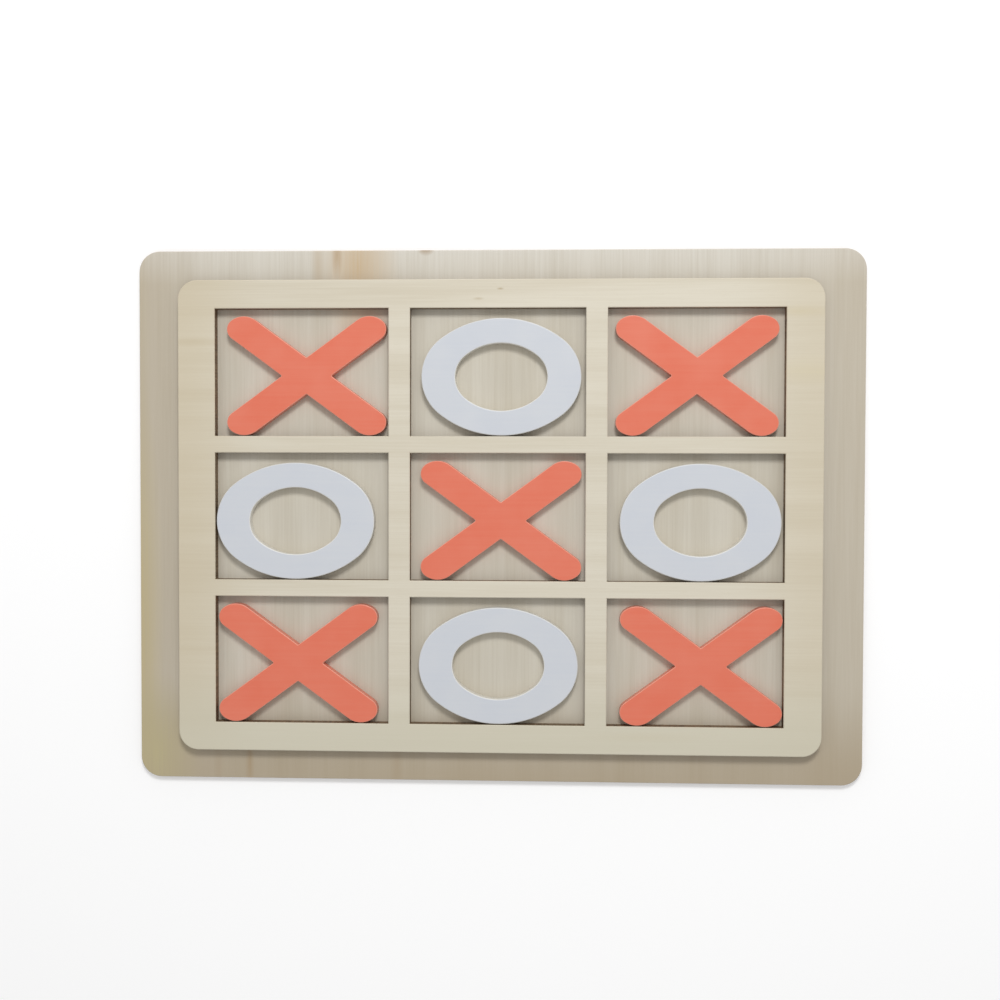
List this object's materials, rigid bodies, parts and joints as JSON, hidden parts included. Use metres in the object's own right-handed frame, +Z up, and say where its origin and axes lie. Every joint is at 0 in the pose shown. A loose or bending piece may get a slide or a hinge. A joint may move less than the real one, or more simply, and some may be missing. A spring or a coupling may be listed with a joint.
{
  "type": "tic tac toe set",
  "caption": "Rectangular wooden tic tac toe board with a raised grid frame of open cells and loose painted cross and ring pieces.",
  "frame": {"origin": "middle of the underside of the base board", "axes": "+X along the board's long side, +Y along its short side towards the back row, +Z up out of the cells"},
  "size_m": [0.3, 0.22, 0.008],
  "materials": {
    "board_plywood": "matte birch plywood with laser-darkened edges",
    "frame_plywood": "matte birch plywood with laser-darkened edges",
    "coral_paint": "satin coral paint on wood",
    "white_paint": "satin cool white paint on wood"
  },
  "bodies": {
    "board": {"base_board": "board_plywood", "grid_frame": "frame_plywood"},
    "x_top_left_piece": {"x_top_left": "coral_paint"},
    "o_top_piece": {"o_top": "white_paint"},
    "x_top_right_piece": {"x_top_right": "coral_paint"},
    "o_left_piece": {"o_left": "white_paint"},
    "x_centre_piece": {"x_centre": "coral_paint"},
    "o_right_piece": {"o_right": "white_paint"},
    "x_bottom_left_piece": {"x_bottom_left": "coral_paint"},
    "o_bottom_piece": {"o_bottom": "white_paint"},
    "x_bottom_right_piece": {"x_bottom_right": "coral_paint"}
  },
  "joints": [
    {"name": "x_top_left_lift", "type": "slide", "parent": "board", "child": "x_top_left_piece", "axis": [0, 0, 1], "range_m": [0, 0.04]},
    {"name": "o_top_lift", "type": "slide", "parent": "board", "child": "o_top_piece", "axis": [0, 0, 1], "range_m": [0, 0.04]},
    {"name": "x_top_right_lift", "type": "slide", "parent": "board", "child": "x_top_right_piece", "axis": [0, 0, 1], "range_m": [0, 0.04]},
    {"name": "o_left_lift", "type": "slide", "parent": "board", "child": "o_left_piece", "axis": [0, 0, 1], "range_m": [0, 0.04]},
    {"name": "x_centre_lift", "type": "slide", "parent": "board", "child": "x_centre_piece", "axis": [0, 0, 1], "range_m": [0, 0.04]},
    {"name": "o_right_lift", "type": "slide", "parent": "board", "child": "o_right_piece", "axis": [0, 0, 1], "range_m": [0, 0.04]},
    {"name": "x_bottom_left_lift", "type": "slide", "parent": "board", "child": "x_bottom_left_piece", "axis": [0, 0, 1], "range_m": [0, 0.04]},
    {"name": "o_bottom_lift", "type": "slide", "parent": "board", "child": "o_bottom_piece", "axis": [0, 0, 1], "range_m": [0, 0.04]},
    {"name": "x_bottom_right_lift", "type": "slide", "parent": "board", "child": "x_bottom_right_piece", "axis": [0, 0, 1], "range_m": [0, 0.04]}
  ]
}
